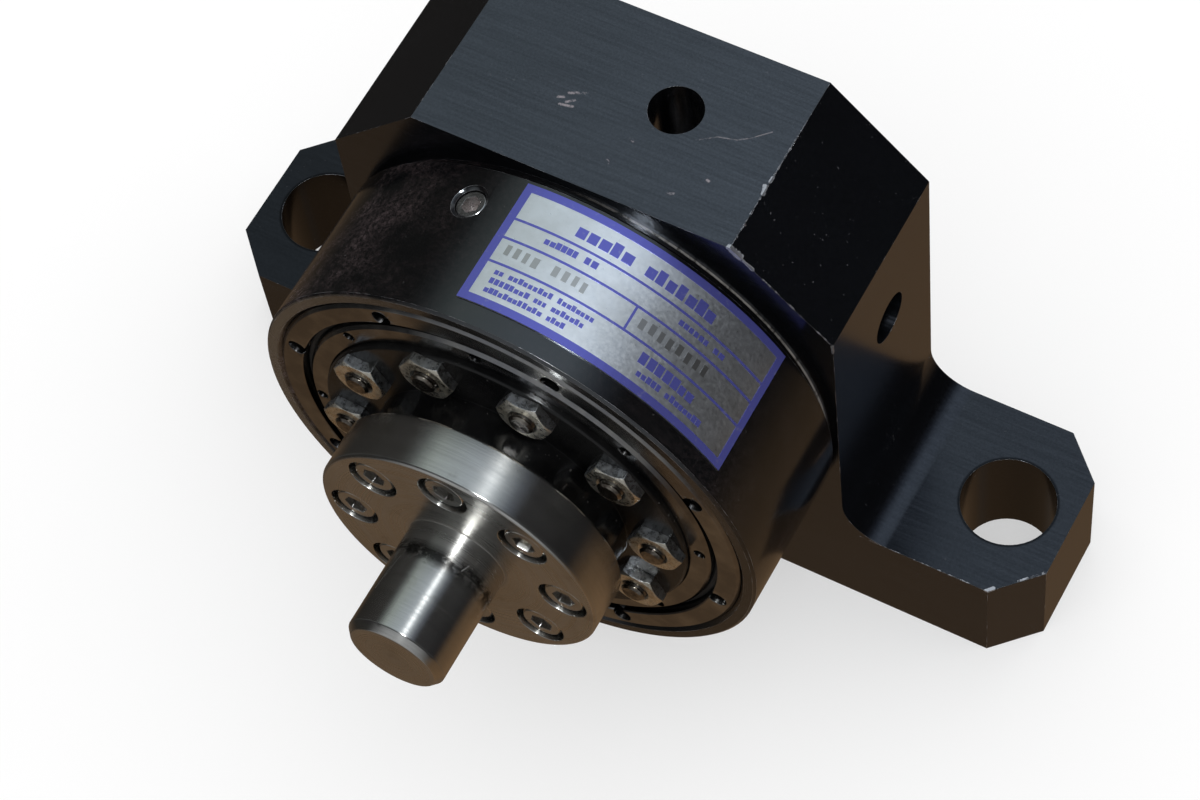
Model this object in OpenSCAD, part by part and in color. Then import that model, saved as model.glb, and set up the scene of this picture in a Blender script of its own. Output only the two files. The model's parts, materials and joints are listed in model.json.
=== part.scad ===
// Foot-mounted cycloidal gear reducer, 10 to 1, with a bolted output flange.
// +Z is up and the output shaft points along -Y. The origin is on the base, midway between
// the two foot bolt holes. Millimetres and degrees.

/* [Output shaft] */
// Diameter of the output shaft
shaft_d = 19.05; // [16:0.05:20]
// How far the shaft stands out of its flange
shaft_l = 22.7; // [15:0.1:40]
// Diameter of the output flange
flange_d = 55.2; // [54.6:0.1:56]
// Thickness of the output flange
flange_t = 9.9; // [8.5:0.1:12]
// Radius of the flange screw circle
flange_screw_r = 21.1; // [20.6:0.1:21.5]
// Number of flange screws
flange_screw_n = 8; // [4:1:8]

/* [Drive] */
// Radius of the output rollers' pitch circle
output_roller_pitch = 31.26; // [31:0.01:31.5]
// Number of output rollers, one more than the cam's lobes
output_roller_n = 10; // [10:1:10]
// Radius of the fixed rollers' pitch circle
ground_roller_pitch = 27; // [26.9:0.1:27.1]
// Number of fixed rollers
ground_roller_n = 8; // [6:1:8]
// Radius of every roller
roller_r = 6.35; // [6.25:0.01:6.36]
// How far the cam's centre stands off the shaft axis
eccentricity = 1.9; // [1.7:0.05:1.9]
// Clearance between the cam and the rollers
cam_clearance = 0.04; // [0.03:0.01:0.08]

/* [Housing] */
// Diameter of the round housing
housing_d = 99; // [98.6:0.1:100]
// Angle of the fill plug around the housing, from +X
plug_angle = 106.5; // [100:0.5:140]
// Angle at which the nameplate starts, from +X
plate_start = 32.9; // [20:0.1:40]
// Angle that the nameplate covers
plate_sweep = 63.9; // [40:0.1:65]
// Width of the nameplate along the shaft
plate_w = 24.6; // [15:0.1:26]

/* [Foot block] */
// Height of the shaft axis above the base
axis_h = 58.4; // [57:0.1:65]
// Width of the block between its side walls
block_w = 98.8; // [98:0.1:102]
// Height of the block from the base
block_h = 108; // [107:0.1:115]
// Length of the block along the shaft
block_l = 37; // [36:0.1:45]
// Size of the two upper corner chamfers
block_chamfer = 18.5; // [10:0.1:19]
// Overall width over the two foot ears
foot_w = 173.6; // [168:0.1:190]
// Thickness of the foot ears
ear_t = 23.6; // [15:0.1:24]
// Size of the chamfers on the ear corners
ear_chamfer = 8; // [2:0.1:10]
// Radius where an ear meets its side wall
ear_fillet = 9; // [3:0.1:10]
// Diameter of the two foot bolt holes
foot_hole_d = 18; // [10:0.1:19]
// Distance between the foot bolt holes
foot_hole_gap = 148.4; // [146:0.1:155]
// Diameter of the two access holes to the clamp screw
access_d = 9.9; // [8:0.1:10]

/* [Motor side] */
// Diameter of the motor's centring recess, NEMA 34
motor_pilot_d = 73.03; // [73:0.01:73.1]
// Side of the square of motor screws, NEMA 34
motor_bolt_gap = 69.6; // [69:0.1:70]
// Diameter of the motor shaft's bore
motor_shaft_d = 12.7; // [9:0.1:12.7]
// Distance of the clamp screw's axis from the shaft axis
clamp_screw_x = 9.72; // [9.6:0.01:9.9]

/* [Hidden] */
$fn = 96;
tiny = 0.01;
seat = 0.02;          // radial gap of parts that stay put in each other
run = 0.05;           // radial gap of parts that turn past each other

// Stations along the shaft, measured forward from the block's front face
spigot_back = -9;
boss_back = -12;
wall_front = 0.4;
housing_back = 1.84;
cam_back = 1;
cam_step = 9.5;
cam_front = 19;
plate_back = 19.5;
bearing_back = 21.02;
bearing_front = 28.5;
plate_front = 32;
nut_seat = plate_front + 1.2;  // the plate stands proud of its retaining ring
housing_front = 32.1;
flange_back = 40;
flange_front = flange_back + flange_t;
shaft_end = flange_front + shaft_l;
clamp_screw_u = -20.74;
plug_u = 9.54;

// Radii of the housing and the parts in its mouth
housing_r = housing_d / 2;
neck_r = 47.5;
spigot_r = 38;
cavity_r = 40.6;
bearing_outer_r = 44.45;
bearing_inner_r = 38.1;
ball_pitch = 41.275;
ball_r = 1.985;
ring_thread_r = 46.4;
inner_thread_r = 36.4;
seal_inner_r = 40.55;
seal_outer_r = 41.85;
boss_r = 24.8;

// Input and pilot bearings: stations, seats in the fixed parts, ball circles and balls
input_bearing_back = -8;
input_bearing_front = -1;
input_ball_u = (input_bearing_back + input_bearing_front) / 2;
input_seat_r = 16;
input_ball_pitch = 13;
input_ball_r = 1.75;
pilot_bearing_back = 20.05;
pilot_bearing_front = 26.05;
pilot_ball_u = (pilot_bearing_back + pilot_bearing_front) / 2;
pilot_seat_r = 12;
pilot_ball_pitch = 9;
pilot_ball_r = 1.6;

// Input side
journal_r = 10;
eccentric_angle = 2;  // direction of the eccentric at rest, and of the output rollers
front_journal_r = 6.5;
pilot_journal_r = 6;
needle_r = 1.235;
needle_pitch = 11.25;
needle_n = 14;
cam_bore_r = 16.02;
hub_r = 16;
neck_shaft_r = 11;
hub_front = -16;
hub_back = -27;
counterweight_front = -12.8;
key_back = 4;
key_front = 15;

// Hardware
stud_journal_r = 4;
flange_counterbore = 5.3;
small_hole_r = 2.5;    // clearance for a number 10 stud or screw
stud_r = 2.41;
nut_flats = 9.53;
nut_t = 2.1;
housing_screw_pitch = 44.2;
housing_screw_angle = 60;

black = [0.09, 0.10, 0.12];
dark = [0.16, 0.16, 0.17];
steel = [0.66, 0.65, 0.62];
zinc = [0.55, 0.56, 0.56];
rubber = [0.04, 0.04, 0.04];
brass = [0.72, 0.55, 0.28];

OUTPUT_ROLLERS = [for (i = [1 : output_roller_n]) str("output_roller_", i)];
GROUND_ROLLERS = [for (i = [1 : ground_roller_n]) str("ground_roller_", i)];

// ---------- placing and repeating ----------

// Shaft frame: z runs forward along the shaft from the block's front face, y is up
module on_shaft() {
    translate([0, -block_l / 2, axis_h]) rotate([90, 0, 0]) children();
}

// Shaft frame moved to the cam's centre, its x axis pointing along the eccentric
module on_eccentric() {
    on_shaft() rotate([0, 0, eccentric_angle]) translate([eccentricity, 0, 0]) children();
}

// Copies of the children on a circle around the shaft
module around(n, radius, start = 0) {
    for (i = [0 : n - 1]) rotate([0, 0, start + i * 360 / n]) translate([radius, 0, 0]) children();
}

// A solid turned from [radius, height] points
module turned(points) {
    rotate_extrude() polygon(points);
}

// A round bar from z0 to z1
module bar(r, z0, z1) {
    translate([0, 0, z0]) cylinder(r = r, h = z1 - z0);
}

// A plain ring with its four edges broken by c
module ring(r_in, r_out, z0, z1, c = 0.2) {
    turned([[r_in + c, z0], [r_out - c, z0], [r_out, z0 + c], [r_out, z1 - c],
            [r_out - c, z1], [r_in + c, z1], [r_in, z1 - c], [r_in, z0 + c]]);
}

// ---------- hardware ----------

// Socket head cap screw: seat at z = 0, head up, shank down
module cap_screw(head_r, head_h, shank_r, shank_l, key) {
    edge = 0.4;
    difference() {
        turned([[0, -shank_l], [shank_r - edge, -shank_l], [shank_r, -shank_l + edge], [shank_r, 0],
                [head_r, 0], [head_r, head_h - edge], [head_r - edge, head_h], [0, head_h]]);
        translate([0, 0, head_h / 2]) cylinder(r = key / sqrt(3), h = head_h, $fn = 6);
    }
}

// Hex nut on z = 0, with the corners of its outer face chamfered
module hex_nut(hole_r) {
    corner_r = nut_flats / sqrt(3);
    drop = 0.55;
    difference() {
        intersection() {
            cylinder(r = corner_r, h = nut_t, $fn = 6);
            turned([[0, 0], [corner_r + tiny, 0], [corner_r + tiny, nut_t - drop],
                    [nut_flats / 2 - 0.1, nut_t], [0, nut_t]]);
        }
        bar(hole_r, -1, nut_t + 1);
        translate([0, 0, nut_t - 0.4]) cylinder(r1 = hole_r, r2 = hole_r + 0.45, h = 0.41);
    }
}

// Roller stud standing on z = 0: journal up, threaded shank down, with thread rings at its tip
module roller_stud(roller_l, shank_l) {
    shoulder_r = 5.3;
    journal_top = roller_l - 0.5;
    head_top = roller_l + 0.2;
    groove = 0.3;
    pitch = 0.8;
    tip = -shank_l;
    turned([[0, tip], [stud_r - 0.5, tip], [stud_r, tip + 0.45],
            [stud_r - groove, tip + 0.45 + pitch / 2], [stud_r, tip + 0.45 + pitch],
            [stud_r - groove, tip + 0.45 + 1.5 * pitch], [stud_r, tip + 0.45 + 2 * pitch],
            [stud_r, 0], [shoulder_r, 0], [shoulder_r, 0.25], [stud_journal_r, 0.25],
            [stud_journal_r, journal_top], [shoulder_r, journal_top], [shoulder_r, head_top],
            [0, head_top]]);
}

// Roller over its stud's journal, standing on z = 0.3
module roller(roller_l) {
    bore_r = stud_journal_r + 0.03;
    pocket_r = 5.4;
    edge = 0.3;
    z0 = 0.3;
    z1 = z0 + roller_l;
    pocket = roller_l - 0.55;
    turned([[bore_r, z0], [roller_r - edge, z0], [roller_r, z0 + edge], [roller_r, z1 - edge],
            [roller_r - edge, z1], [pocket_r, z1], [pocket_r, pocket], [bore_r, pocket]]);
}

// ---------- bearings ----------

// Ball bearing race between two radii, with its ball groove
module race(r_in, r_out, z0, z1, pitch, ball) {
    difference() {
        ring(r_in, r_out, z0, z1);
        rotate_extrude() translate([pitch, (z0 + z1) / 2]) circle(r = ball + 0.03);
    }
}

// Balls of a bearing
module balls(n, pitch, z, ball) {
    around(n, pitch) translate([0, 0, z]) sphere(r = ball);
}

// Ball cage: a thin ring with one round pocket for each ball
module ball_cage(n, r_in, r_out, z, width, ball) {
    difference() {
        ring(r_in, r_out, z - width / 2, z + width / 2, 0.1);
        around(n, r_in - 1) translate([0, 0, z]) rotate([0, 90, 0])
            cylinder(r = ball + 0.07, h = r_out - r_in + 2);
    }
}

// ---------- fixed parts ----------

// Front outline of the foot block: ears, filleted side walls and chamfered top corners
module block_outline() {
    half = block_w / 2;
    polygon([[foot_w / 2, 0], [foot_w / 2, ear_t], [half, ear_t], [half, block_h - block_chamfer],
             [half - block_chamfer, block_h], [block_chamfer - half, block_h],
             [-half, block_h - block_chamfer], [-half, ear_t], [-foot_w / 2, ear_t],
             [-foot_w / 2, 0]]);
    for (side = [0, 1]) mirror([side, 0]) difference() {
        translate([half - 1, ear_t - 1]) square(ear_fillet + 1);
        translate([half + ear_fillet, ear_t + ear_fillet]) circle(r = ear_fillet);
    }
}

// Plan outline of the foot, with its corner chamfers
module foot_plan() {
    x = foot_w / 2;
    y = block_l / 2;
    c = ear_chamfer;
    polygon([[x, -y + c], [x, y - c], [x - c, y], [-x + c, y], [-x, y - c], [-x, -y + c],
             [-x + c, -y], [x - c, -y]]);
}

// Long counterbored screw holes and tapped motor holes, from the block's back face
module block_screw_holes() {
    back = -block_l;
    around(4, housing_screw_pitch, housing_screw_angle) {
        bar(2.2, back - 1, 1);
        bar(4.2, back - 1, spigot_back);
    }
    for (x = [-1, 1], y = [-1, 1]) translate([x, y, 0] * motor_bolt_gap / 2)
        bar(2.05, back - 1, back + 15);
}

module foot_block() {
    cavity = 34.5;
    recess_depth = 2.5;
    color(black) difference() {
        intersection() {
            translate([0, block_l / 2, 0]) rotate([90, 0, 0]) linear_extrude(block_l) block_outline();
            translate([0, 0, -1]) linear_extrude(block_h + 2) foot_plan();
        }
        for (x = [-1, 1]) translate([x * foot_hole_gap / 2, 0, 0]) bar(foot_hole_d / 2, -1, block_h);
        on_shaft() {
            bar(spigot_r + run, spigot_back - 0.1, 1);
            bar(cavity, -block_l - 1, 1);
            bar(motor_pilot_d / 2, -block_l - 1, -block_l + recess_depth);
            block_screw_holes();
            translate([clamp_screw_x, 0, clamp_screw_u]) rotate([-90, 0, 0]) bar(access_d / 2, 0, block_h);
            translate([0, clamp_screw_x, clamp_screw_u]) rotate([0, 90, 0]) bar(access_d / 2, 0, block_w);
        }
    }
}

// Tapped holes and the plug hole in the housing
module housing_holes() {
    around(4, housing_screw_pitch, housing_screw_angle) bar(2.05, -1, 9);
    around(ground_roller_n, ground_roller_pitch, 180 / ground_roller_n) bar(small_hole_r, spigot_back - 1, 1);
    rotate([0, 0, plug_angle]) translate([0, 0, plug_u]) rotate([0, 90, 0]) {
        bar(2.95, 35, 55);
        translate([0, 0, housing_r - 0.6]) cylinder(r1 = 2.95, r2 = 4.15, h = 1.2);
    }
}

module housing() {
    shoulder = 14.4;
    edge = 0.5;
    lip_inner = 47.2;
    color(black) on_shaft() difference() {
        turned([
            [shoulder, wall_front], [shoulder, input_bearing_front],
            [input_seat_r, input_bearing_front], [input_seat_r, boss_back],
            [20.5 - edge, boss_back], [20.5, boss_back + edge], [20.5, spigot_back],
            [spigot_r - edge, spigot_back], [spigot_r, spigot_back + edge],
            [spigot_r, -5], [spigot_r - 1.9, -5], [spigot_r - 1.9, -3], [spigot_r, -3],
            [spigot_r, 0], [neck_r, 0], [neck_r, housing_back],
            [housing_r - edge, housing_back], [housing_r, housing_back + edge],
            [housing_r, housing_front - edge], [housing_r - edge, housing_front],
            [lip_inner, housing_front], [ring_thread_r, housing_front - 0.8],
            [ring_thread_r, bearing_front], [bearing_outer_r, bearing_front],
            [bearing_outer_r, bearing_back - tiny], [cavity_r, bearing_back - tiny],
            [cavity_r, wall_front]]);
        housing_holes();
    }
}

// Threaded ring with blind holes for a pin spanner
module spanner_ring(r_in, r_out, z0, z1, hole_r, hole_pitch, hole_start) {
    difference() {
        turned([[r_in, z0], [r_out, z0], [r_out, z1 - 0.6], [r_out - 0.6, z1],
                [r_in + 0.25, z1], [r_in, z1 - 0.25]]);
        around(8, hole_pitch, hole_start) bar(hole_r, z1 - 2, z1 + 1);
    }
}

module outer_retaining_ring() {
    color(dark) on_shaft()
        spanner_ring(41.9, ring_thread_r - seat, bearing_front + 0.1, housing_front, 1.8, 43.4, 27);
}

module main_bearing_outer_race() {
    color(steel) on_shaft()
        race(42.15, bearing_outer_r - seat, bearing_back, bearing_front, ball_pitch, ball_r);
}

module bearing_seal() {
    color(rubber) on_shaft() ring(seal_inner_r, seal_outer_r, bearing_front + 0.4, 30.2, 0.3);
}

module nameplate() {
    thickness = 0.3;
    back = 3.1;
    color(steel) on_shaft() rotate([0, 0, plate_start])
        rotate_extrude(angle = plate_sweep)
        translate([housing_r + tiny, back]) square([thickness, plate_w]);
}

module fill_plug() {
    key = 3.2;
    top = housing_r - 0.75;
    color(dark) on_shaft() rotate([0, 0, plug_angle]) translate([0, 0, plug_u]) rotate([0, 90, 0])
        difference() {
            turned([[0, 42], [2.9, 42], [2.9, top - 0.3], [2.6, top], [0, top]]);
            translate([0, 0, top - 2.5]) cylinder(r = key / sqrt(3), h = 3, $fn = 6);
        }
}

module housing_screws() {
    color(dark) on_shaft() around(4, housing_screw_pitch, housing_screw_angle)
        translate([0, 0, spigot_back]) mirror([0, 0, 1]) cap_screw(3.5, 4, 2, 17, 3);
}

module housing_o_ring() {
    color(rubber) on_shaft() rotate_extrude() translate([spigot_r - 0.96, -4]) circle(r = 0.9);
}

module ground_studs() {
    color(dark) on_shaft() around(ground_roller_n, ground_roller_pitch, 180 / ground_roller_n)
        translate([0, 0, wall_front]) roller_stud(8.5, 13);
}

module ground_nuts() {
    color(zinc) on_shaft() around(ground_roller_n, ground_roller_pitch, 180 / ground_roller_n)
        translate([0, 0, spigot_back]) mirror([0, 0, 1]) hex_nut(stud_r + run);
}

module input_bearing_outer_race() {
    color(steel) on_shaft() race(14, input_seat_r - seat, input_bearing_back, input_bearing_front,
                                 input_ball_pitch, input_ball_r);
}

module input_seal() {
    color(rubber) on_shaft() turned([
        [input_seat_r - seat, boss_back], [input_seat_r - seat, -8.4], [14.5, -8.4],
        [14.5, boss_back + 0.8], [11.4, boss_back + 0.8], [10.6, -9], [journal_r + run, -9.8], [10.4, boss_back]]);
}

// ---------- output parts ----------

module output_plate() {
    pilot_seat_front = pilot_bearing_front + 0.25;
    spigot = 11.03;
    edge = 0.4;
    color(dark) on_shaft() difference() {
        turned([
            [pilot_seat_r, plate_back], [40 - edge, plate_back], [40, plate_back + edge],
            [40, bearing_back], [bearing_inner_r - seat, bearing_back],
            [bearing_inner_r - seat, bearing_front], [inner_thread_r, bearing_front],
            [inner_thread_r, nut_seat - edge], [inner_thread_r - edge, nut_seat],
            [boss_r, nut_seat], [boss_r, flange_back - edge], [boss_r - edge, flange_back],
            [spigot, flange_back], [spigot, 36], [0, 36], [0, pilot_seat_front],
            [pilot_seat_r, pilot_seat_front]]);
        around(output_roller_n, output_roller_pitch, eccentric_angle)
            bar(small_hole_r, plate_back - 1, nut_seat + 1);
        around(flange_screw_n, flange_screw_r) bar(small_hole_r, 31, flange_back + 1);
    }
}

module output_shaft() {
    spigot = 11;
    groove = 1.7;
    edge = 0.5;
    end_chamfer = 1.4;
    shaft_r = shaft_d / 2;
    flange_r = flange_d / 2;
    color(steel) on_shaft() difference() {
        turned([
            [0, 36.2], [spigot - edge, 36.2], [spigot, 36.2 + edge], [spigot, 37.2],
            [spigot - groove, 37.2], [spigot - groove, 39], [spigot, 39], [spigot, flange_back],
            [flange_r - edge, flange_back], [flange_r, flange_back + edge],
            [flange_r, flange_front - edge], [flange_r - edge, flange_front],
            [shaft_r, flange_front], [shaft_r, shaft_end - end_chamfer],
            [shaft_r - end_chamfer * 0.85, shaft_end], [0, shaft_end]]);
        around(flange_screw_n, flange_screw_r) {
            bar(2.6, flange_back - 1, flange_front + 1);
            bar(4.75, flange_front - flange_counterbore, flange_front + 1);
        }
    }
}

module flange_screws() {
    color(steel) on_shaft() around(flange_screw_n, flange_screw_r)
        translate([0, 0, flange_front - flange_counterbore]) cap_screw(3.96, 4.83, 2.4, 12, 3.97);
}

module follower_studs() {
    color(dark) on_shaft() around(output_roller_n, output_roller_pitch, eccentric_angle)
        translate([0, 0, plate_back]) mirror([0, 0, 1]) roller_stud(9.5, 16.8);
}

// Each nut is left at its own angle, as the wrench left it
module follower_nuts() {
    turn_step = 23;
    color(zinc) on_shaft() for (i = [0 : output_roller_n - 1])
        rotate([0, 0, eccentric_angle + i * 360 / output_roller_n])
        translate([output_roller_pitch, 0, nut_seat]) rotate([0, 0, i * turn_step])
        hex_nut(stud_r + run);
}

module inner_retaining_ring() {
    color(dark) on_shaft()
        spanner_ring(inner_thread_r + seat, 40.5, bearing_front + 0.1, plate_front - run, 1.15, 38.7, 2);
}

module main_bearing_inner_race() {
    color(steel) on_shaft()
        race(bearing_inner_r, 40.4, bearing_back + tiny, bearing_front, ball_pitch, ball_r);
}

module pilot_bearing_outer_race() {
    color(steel) on_shaft() race(9.9, pilot_seat_r - seat, pilot_bearing_back, pilot_bearing_front,
                                 pilot_ball_pitch, pilot_ball_r);
}

module flange_o_ring() {
    color(rubber) on_shaft() rotate_extrude() translate([10.15, 38.1]) circle(r = 0.8);
}

// ---------- input parts ----------

// Slit, clamp screw hole and spotface in the input shaft's hub
module clamp_cuts() {
    slit = 1.5;
    bar(motor_shaft_d / 2, hub_back - 1, -4);
    translate([0, -slit / 2, hub_back - 1]) cube([hub_r + 1, slit, 14]);
    translate([clamp_screw_x, 0, clamp_screw_u]) rotate([-90, 0, 0]) {
        bar(2.1, -hub_r, hub_r);
        bar(3.8, 7.5, hub_r + 1);
    }
}

// The two counterweight screws, on the shaft's hub
module at_counterweight_screws() {
    for (a = [-60, 60]) rotate([0, 0, eccentric_angle + 180 + a])
        translate([13.5, 0, counterweight_front]) children();
}

// The key between shaft and eccentric, from z0 to z1, or its slot when gap is not zero
module key_block(z0, z1, gap = 0) {
    width = 2.5 + gap;
    rotate([0, 0, eccentric_angle]) translate([5.3 - gap / 2, -width / 2, z0 - gap / 2])
        cube([2.4 + gap, width, z1 - z0 + gap]);
}

module input_shaft() {
    groove_r = 5.7;
    color(steel) on_shaft() difference() {
        turned([
            [0, hub_back], [hub_r - 0.5, hub_back], [hub_r, hub_back + 0.5], [hub_r, hub_front],
            [neck_shaft_r, hub_front], [neck_shaft_r, -12.7], [journal_r, -12.7], [journal_r, -1],
            [front_journal_r, -1], [front_journal_r, 18.97], [groove_r, 18.97], [groove_r, 19.83],
            [pilot_journal_r, 19.83], [pilot_journal_r, 25.9], [pilot_journal_r - 0.5, 26.2],
            [0, 26.2]]);
        clamp_cuts();
        key_block(key_back, key_front, 0.04);
        at_counterweight_screws() bar(1.02, -7, 1);
    }
}

module eccentric() {
    color(steel) difference() {
        on_eccentric() ring(1, journal_r, -0.95, 18.9, 0.3);
        on_shaft() {
            bar(front_journal_r + seat, -2, 20);
            key_block(-2, key_front, 0.04);
        }
    }
}

module eccentric_key() {
    color(dark) on_shaft() key_block(key_back, key_front);
}

module clamp_screw() {
    color(dark) on_shaft() translate([clamp_screw_x, 0, clamp_screw_u]) rotate([-90, 0, 0])
        translate([0, 0, 7.5]) cap_screw(3.5, 4, 2, 17.5, 3);
}

module counterweight() {
    outer = 30;
    back = hub_front + tiny;
    color(steel) on_shaft() difference() {
        translate([0, 0, back]) rotate([0, 0, eccentric_angle])
            linear_extrude(counterweight_front - back) difference() {
                union() {
                    circle(hub_r - 0.3);
                    intersection() {
                        circle(outer);
                        translate([-2 * outer, -outer]) square(2 * outer);
                    }
                }
                circle(neck_shaft_r + seat);
            }
        at_counterweight_screws() {
            bar(1.1, -5, 1);
            translate([0, 0, -1.02]) cylinder(r1 = 1.1, r2 = 2.12, h = 1.04);
        }
    }
}

module counterweight_screws() {
    color(dark) on_shaft() at_counterweight_screws() difference() {
        turned([[0, -6.5], [1, -6.5], [1, -1.1], [1.98, -0.1], [0, -0.1]]);
        translate([0, 0, -0.7]) cylinder(r = 0.75, h = 1, $fn = 6);
    }
}

module input_bearing_inner_race() {
    color(steel) on_shaft() race(journal_r + seat, 12, input_bearing_back, input_bearing_front,
                                 input_ball_pitch, input_ball_r);
}

module pilot_bearing_inner_race() {
    color(steel) on_shaft() race(pilot_journal_r + seat, 8.1, pilot_bearing_back, pilot_bearing_front,
                                 pilot_ball_pitch, pilot_ball_r);
}

module input_retaining_clip() {
    color(dark) on_shaft() rotate_extrude(angle = 300)
        translate([5.72, 19]) square([2.6, 0.8]);
}

// ---------- cam ----------

// Lobed outline that rolls inside the output rollers, one lobe fewer than there are rollers. The
// points are drawn together in the valleys, where the outline runs fastest, so all its chords are short.
module cam_outline() {
    n = output_roller_n;
    big = output_roller_pitch;
    small = roller_r + cam_clearance;
    points = (n - 1) * 24;
    crowding = 0.75;
    polygon([for (i = [0 : points - 1])
        let (even = 360 * i / points,
             t = even - crowding * sin((n - 1) * even) / (n - 1) * 180 / PI,
             lean = atan(sin((1 - n) * t) / (big / (eccentricity * n) - cos((1 - n) * t))))
        [big * cos(t) - small * cos(t + lean) - eccentricity * cos(n * t),
         -big * sin(t) + small * sin(t + lean) + eccentricity * sin(n * t)]]);
}

module cam() {
    orbit_hole_r = roller_r + eccentricity + cam_clearance;
    disc_front = cam_step - 0.2;
    color(steel) on_eccentric() difference() {
        union() {
            turned([[0, cam_back], [37.95, cam_back], [38.25, cam_back + 0.3],
                    [38.25, disc_front - 0.3], [37.95, disc_front], [0, disc_front]]);
            translate([0, 0, cam_step - 1]) linear_extrude(cam_front - cam_step + 1) cam_outline();
        }
        bar(cam_bore_r, -1, 25);
        around(ground_roller_n, ground_roller_pitch, 180 / ground_roller_n - eccentric_angle)
            bar(orbit_hole_r, cam_back - 1, cam_step);
    }
}

module eccentric_bearing_ring() {
    color(steel) on_eccentric() ring(12.5, 16, 1.1, 18.9);
}

// ---------- rolling elements ----------

module main_bearing_balls() {
    color(steel) on_shaft() balls(32, ball_pitch, (bearing_back + bearing_front) / 2, ball_r);
}

module main_bearing_cage() {
    color(brass) on_shaft()
        ball_cage(32, 40.62, 41.93, (bearing_back + bearing_front) / 2, 5, ball_r);
}

module input_bearing_balls() {
    color(steel) on_shaft() balls(11, input_ball_pitch, input_ball_u, input_ball_r);
}

module input_bearing_cage() {
    color(brass) on_shaft() ball_cage(11, 12.3, 13.7, input_ball_u, 4.8, input_ball_r);
}

module pilot_bearing_balls() {
    color(steel) on_shaft() balls(9, pilot_ball_pitch, pilot_ball_u, pilot_ball_r);
}

module pilot_bearing_cage() {
    color(brass) on_shaft() ball_cage(9, 8.4, 9.6, pilot_ball_u, 4.4, pilot_ball_r);
}

module needle_rollers() {
    color(steel) on_eccentric() around(needle_n, needle_pitch) bar(needle_r, 2, 17.8);
}

module needle_cage() {
    pocket_w = 2 * needle_r + 0.1;
    color(brass) on_eccentric() difference() {
        ring(10.5, 12, 1.2, 18.7, 0.1);
        around(needle_n, 10) translate([0, -pocket_w / 2, 1.95]) cube([3, pocket_w, 15.9]);
    }
}

module output_roller(i) {
    color(steel) on_shaft() rotate([0, 0, eccentric_angle + (i - 1) * 360 / output_roller_n])
        translate([output_roller_pitch, 0, plate_back]) mirror([0, 0, 1]) roller(9.5);
}

module ground_roller(i) {
    color(steel) on_shaft() rotate([0, 0, (i - 0.5) * 360 / ground_roller_n])
        translate([ground_roller_pitch, 0, wall_front]) roller(8.5);
}

// ---------- nodes ----------

foot_block();
housing();
outer_retaining_ring();
main_bearing_outer_race();
bearing_seal();
nameplate();
fill_plug();
housing_screws();
housing_o_ring();
ground_studs();
ground_nuts();
input_bearing_outer_race();
input_seal();
output_plate();
output_shaft();
flange_screws();
follower_studs();
follower_nuts();
inner_retaining_ring();
main_bearing_inner_race();
pilot_bearing_outer_race();
flange_o_ring();
input_shaft();
eccentric();
eccentric_key();
clamp_screw();
counterweight();
counterweight_screws();
input_bearing_inner_race();
pilot_bearing_inner_race();
input_retaining_clip();
cam();
eccentric_bearing_ring();
main_bearing_balls();
main_bearing_cage();
input_bearing_balls();
input_bearing_cage();
pilot_bearing_balls();
pilot_bearing_cage();
needle_rollers();
needle_cage();
for (i = [1 : output_roller_n]) output_roller(i);
for (i = [1 : ground_roller_n]) ground_roller(i);
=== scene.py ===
"""Looks of the foot-mounted cycloidal reducer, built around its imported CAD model."""
import json
import math
import random

import bmesh
import bpy
from mathutils import Matrix, Vector

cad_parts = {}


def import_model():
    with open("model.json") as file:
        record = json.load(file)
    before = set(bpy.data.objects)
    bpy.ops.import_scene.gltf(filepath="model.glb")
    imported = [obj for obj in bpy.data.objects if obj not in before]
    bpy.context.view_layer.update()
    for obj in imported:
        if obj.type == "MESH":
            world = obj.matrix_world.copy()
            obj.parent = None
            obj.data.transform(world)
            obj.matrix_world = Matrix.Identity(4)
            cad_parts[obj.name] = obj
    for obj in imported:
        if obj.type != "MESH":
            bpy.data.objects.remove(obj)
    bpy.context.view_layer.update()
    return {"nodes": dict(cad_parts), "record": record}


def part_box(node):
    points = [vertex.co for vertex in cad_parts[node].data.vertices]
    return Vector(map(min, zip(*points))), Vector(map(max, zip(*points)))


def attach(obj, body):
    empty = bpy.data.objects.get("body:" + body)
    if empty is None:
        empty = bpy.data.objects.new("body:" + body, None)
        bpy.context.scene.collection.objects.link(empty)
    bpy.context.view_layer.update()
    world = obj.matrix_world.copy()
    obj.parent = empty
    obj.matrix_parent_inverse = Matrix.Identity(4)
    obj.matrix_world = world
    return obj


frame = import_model()
nodes = frame["nodes"]
MM = 0.001

# ---------- the shaft frame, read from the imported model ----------

block_lo, block_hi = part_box("foot_block")
housing_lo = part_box("housing")[0]
plate_lo, plate_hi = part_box("nameplate")
shaft_lo, shaft_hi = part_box("output_shaft")
AXIS_X = 0.0
AXIS_Z = (shaft_lo.z + shaft_hi.z) / 2
BLOCK_FRONT = block_lo.y
SHAFT_R = max(
    math.hypot(v.co.x, v.co.z - AXIS_Z) for v in nodes["output_shaft"].data.vertices
    if v.co.y < shaft_lo.y + 5.0 * MM)
flange_front_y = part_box("flange_screws")[0].y
SHAFT_LENGTH = flange_front_y - shaft_lo.y
HALF_BODY = max(v.co.x for v in nodes["foot_block"].data.vertices if v.co.z > AXIS_Z)
screw_lo, screw_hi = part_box("clamp_screw")
TOP_HOLE = Vector(((screw_lo.x + screw_hi.x) / 2, (screw_lo.y + screw_hi.y) / 2, block_hi.z))
KNOCKED_CORNER = max(
    (v.co for v in nodes["foot_block"].data.vertices if v.co.z > block_hi.z - 0.01 * MM),
    key=lambda co: co.x - co.y).copy()

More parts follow.
